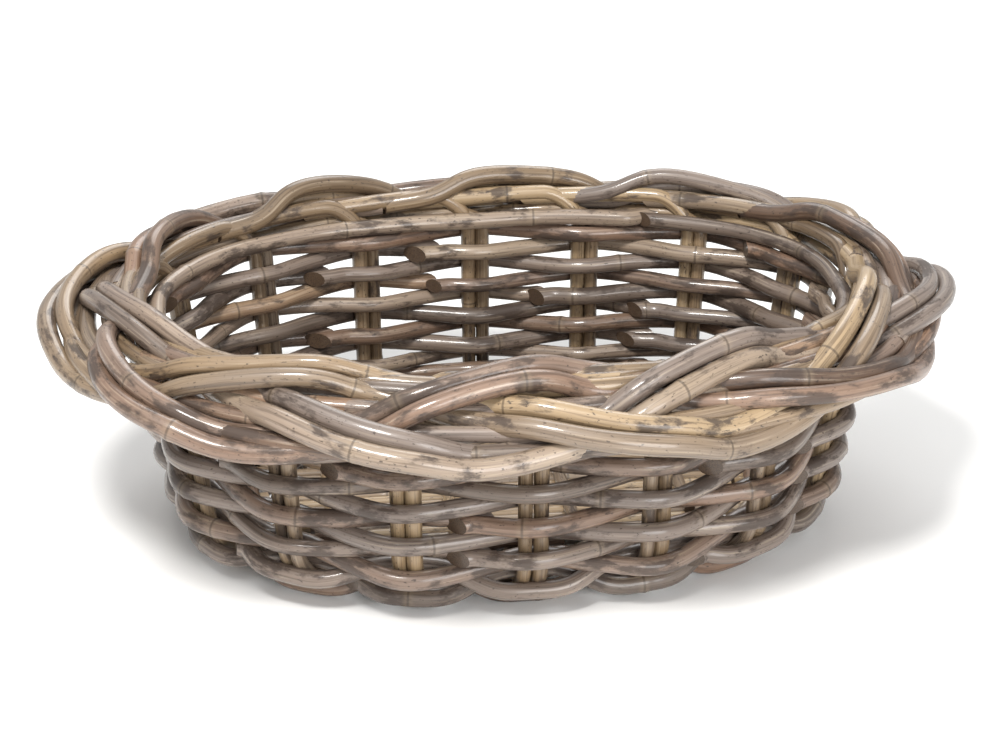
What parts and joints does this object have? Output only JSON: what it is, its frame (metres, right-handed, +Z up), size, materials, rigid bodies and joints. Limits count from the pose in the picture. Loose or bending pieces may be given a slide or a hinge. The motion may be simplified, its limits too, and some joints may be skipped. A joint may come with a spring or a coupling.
{
  "type": "wicker pet bed basket",
  "caption": "Oval open basket woven from round rattan rods, with a flared side and a wide plaited border, used as a bed for a small dog or cat.",
  "frame": {"origin": "middle of the oval, on the floor that the basket stands on", "axes": "+X along the oval's length, +Y across it, +Z up, out of the basket's open top"},
  "size_m": [0.6262, 0.455, 0.1932],
  "materials": {
    "rattan_tan": "satin",
    "rattan_grey": "satin",
    "rattan_brown": "satin"
  },
  "bodies": {
    "root": {"stake_pair_01": "rattan_tan", "stake_pair_02": "rattan_tan", "stake_pair_03": "rattan_tan", "stake_pair_04": "rattan_tan", "stake_pair_05": "rattan_tan", "stake_pair_06": "rattan_tan", "stake_pair_07": "rattan_tan", "stake_pair_08": "rattan_tan", "stake_pair_09": "rattan_tan", "stake_pair_10": "rattan_tan", "stake_pair_11": "rattan_tan", "stake_pair_12": "rattan_tan", "stake_pair_13": "rattan_tan", "stake_pair_14": "rattan_tan", "stake_pair_15": "rattan_tan", "stake_pair_16": "rattan_tan", "base_weaver_1": "rattan_brown", "base_weaver_2": "rattan_grey", "corner_weaver_1": "rattan_grey", "corner_weaver_2": "rattan_brown", "corner_weaver_3": "rattan_grey", "corner_weaver_4": "rattan_grey", "corner_weaver_5": "rattan_brown", "side_weaver_01": "rattan_grey", "side_weaver_02": "rattan_grey", "side_weaver_03": "rattan_brown", "side_weaver_04": "rattan_grey", "side_weaver_05": "rattan_grey", "side_weaver_06": "rattan_brown", "side_weaver_07": "rattan_grey", "side_weaver_08": "rattan_grey", "side_weaver_09": "rattan_brown", "side_weaver_10": "rattan_grey", "border_strand_01": "rattan_tan", "border_strand_02": "rattan_brown", "border_strand_03": "rattan_grey", "border_strand_04": "rattan_tan", "border_strand_05": "rattan_brown", "border_strand_06": "rattan_grey", "border_strand_07": "rattan_tan", "border_strand_08": "rattan_brown", "border_strand_09": "rattan_grey", "border_strand_10": "rattan_tan", "base_long_rods": "rattan_tan", "base_cross_rods": "rattan_tan"}
  },
  "joints": []
}
